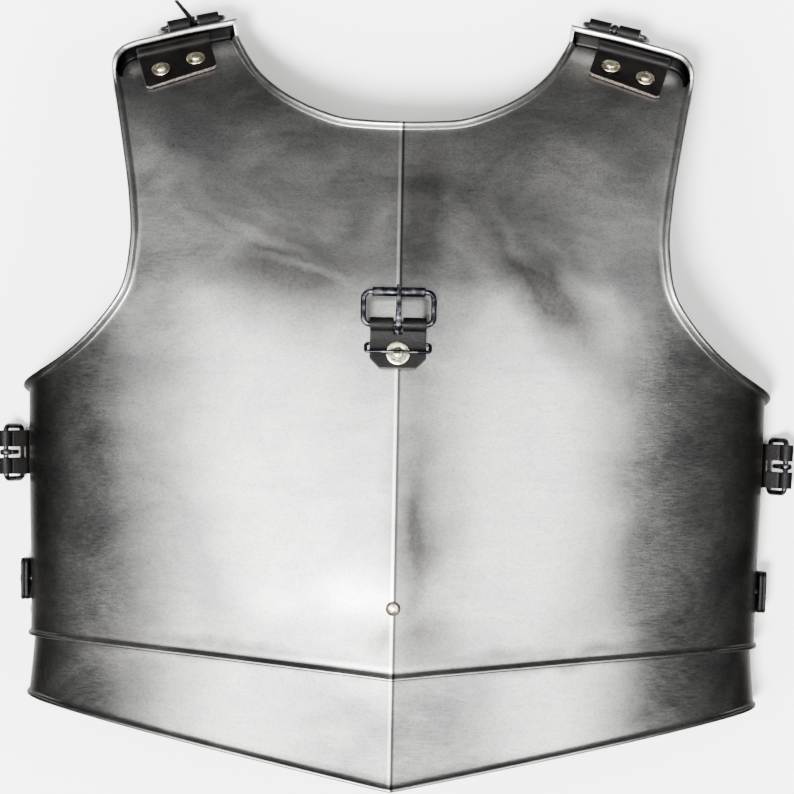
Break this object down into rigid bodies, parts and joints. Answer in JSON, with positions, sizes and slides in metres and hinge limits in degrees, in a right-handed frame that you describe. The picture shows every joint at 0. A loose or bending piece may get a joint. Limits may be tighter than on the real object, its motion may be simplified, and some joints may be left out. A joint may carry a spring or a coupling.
{
  "type": "steel breastplate with waist plate",
  "caption": "Plate-armour breastplate with a keel, rolled edges, a waist plate, and leather straps with buckles at the chest, shoulders and sides.",
  "frame": {"origin": "middle of the footprint on the floor, with the breastplate lying on its open back", "axes": "+X to the viewer's right across the chest, +Y up the body towards the neck, +Z out of the chest"},
  "size_m": [0.4622, 0.4458, 0.1671],
  "materials": {
    "plate_steel": "satin, with a fine grain and darker stains",
    "rivet_steel": "bright, hammered",
    "buckle_steel": "dark, worn",
    "black_leather": "matt, with pale cut edges"
  },
  "bodies": {
    "armour": {"breastplate": "plate_steel", "fauld": "plate_steel", "fauld_rivet_centre": "rivet_steel", "fauld_rivet_left": "rivet_steel", "fauld_rivet_right": "rivet_steel", "chest_strap": "black_leather", "chest_keeper": "buckle_steel", "chest_washer": "rivet_steel", "chest_rivet": "rivet_steel", "left_shoulder_tab": "black_leather", "left_shoulder_rivet_inner": "rivet_steel", "left_shoulder_rivet_outer": "rivet_steel", "left_shoulder_washer_inner": "rivet_steel", "left_shoulder_washer_outer": "rivet_steel", "left_shoulder_strap": "black_leather", "right_shoulder_tab": "black_leather", "right_shoulder_rivet_inner": "rivet_steel", "right_shoulder_rivet_outer": "rivet_steel", "right_shoulder_washer_inner": "rivet_steel", "right_shoulder_washer_outer": "rivet_steel", "right_shoulder_strap": "black_leather", "left_side_strap": "black_leather", "left_side_strap_rivet": "rivet_steel", "left_side_strap_washer": "rivet_steel", "left_side_tab": "black_leather", "left_side_tab_rivet": "rivet_steel", "right_side_strap": "black_leather", "right_side_strap_rivet": "rivet_steel", "right_side_strap_washer": "rivet_steel", "right_side_tab": "black_leather", "right_side_tab_rivet": "rivet_steel"},
    "chest_frame": {"chest_buckle": "buckle_steel"},
    "chest_tongue": {"chest_prong": "buckle_steel"},
    "chest_barrel": {"chest_roller": "buckle_steel"},
    "left_shoulder_frame": {"left_shoulder_buckle": "buckle_steel"},
    "left_shoulder_tongue": {"left_shoulder_prong": "buckle_steel"},
    "right_shoulder_frame": {"right_shoulder_buckle": "buckle_steel"},
    "right_shoulder_tongue": {"right_shoulder_prong": "buckle_steel"},
    "left_side_frame": {"left_side_buckle": "buckle_steel"},
    "left_side_tongue": {"left_side_prong": "buckle_steel"},
    "right_side_frame": {"right_side_buckle": "buckle_steel"},
    "right_side_tongue": {"right_side_prong": "buckle_steel"}
  },
  "joints": [
    {"name": "chest_frame_swing", "type": "hinge", "parent": "armour", "child": "chest_frame", "pos_m": [0, 0.0367, 0.15529], "axis": [1, 0, 0], "range_deg": [0, 90]},
    {"name": "chest_prong_swing", "type": "hinge", "parent": "chest_frame", "child": "chest_tongue", "pos_m": [0, 0.0367, 0.15529], "axis": [1, 0, 0], "range_deg": [0, 30]},
    {"name": "chest_roller_spin", "type": "hinge", "parent": "chest_frame", "child": "chest_barrel", "pos_m": [0, 0.05482, 0.15205], "axis": [1, 0, 0], "continuous": true},
    {"name": "left_shoulder_frame_swing", "type": "hinge", "parent": "armour", "child": "left_shoulder_frame", "pos_m": [-0.12166, 0.21023, 0.04282], "axis": [0.9633, 0.2221, -0.1509], "range_deg": [-20, 30]},
    {"name": "left_shoulder_prong_swing", "type": "hinge", "parent": "left_shoulder_frame", "child": "left_shoulder_tongue", "pos_m": [-0.12166, 0.21023, 0.04282], "axis": [0.9633, 0.2221, -0.1509], "range_deg": [-130, 0]},
    {"name": "right_shoulder_frame_swing", "type": "hinge", "parent": "armour", "child": "right_shoulder_frame", "pos_m": [0.12166, 0.21023, 0.04282], "axis": [0.9633, -0.2221, 0.1509], "range_deg": [-20, 80]},
    {"name": "right_shoulder_prong_swing", "type": "hinge", "parent": "right_shoulder_frame", "child": "right_shoulder_tongue", "pos_m": [0.12166, 0.21023, 0.04282], "axis": [0.9633, -0.2221, 0.1509], "range_deg": [0, 60]},
    {"name": "left_side_frame_swing", "type": "hinge", "parent": "armour", "child": "left_side_frame", "pos_m": [-0.22678, -0.03984, 0.02055], "axis": [0.0272, -0.9996, 0.0038], "range_deg": [-100, 0]},
    {"name": "left_side_prong_swing", "type": "hinge", "parent": "left_side_frame", "child": "left_side_tongue", "pos_m": [-0.22678, -0.03984, 0.02055], "axis": [0.0272, -0.9996, 0.0038], "range_deg": [-60, 0]},
    {"name": "right_side_frame_swing", "type": "hinge", "parent": "armour", "child": "right_side_frame", "pos_m": [0.22678, -0.03984, 0.02055], "axis": [0.0272, 0.9996, -0.0038], "range_deg": [-100, 0]},
    {"name": "right_side_prong_swing", "type": "hinge", "parent": "right_side_frame", "child": "right_side_tongue", "pos_m": [0.22678, -0.03984, 0.02055], "axis": [0.0272, 0.9996, -0.0038], "range_deg": [-60, 0]}
  ]
}
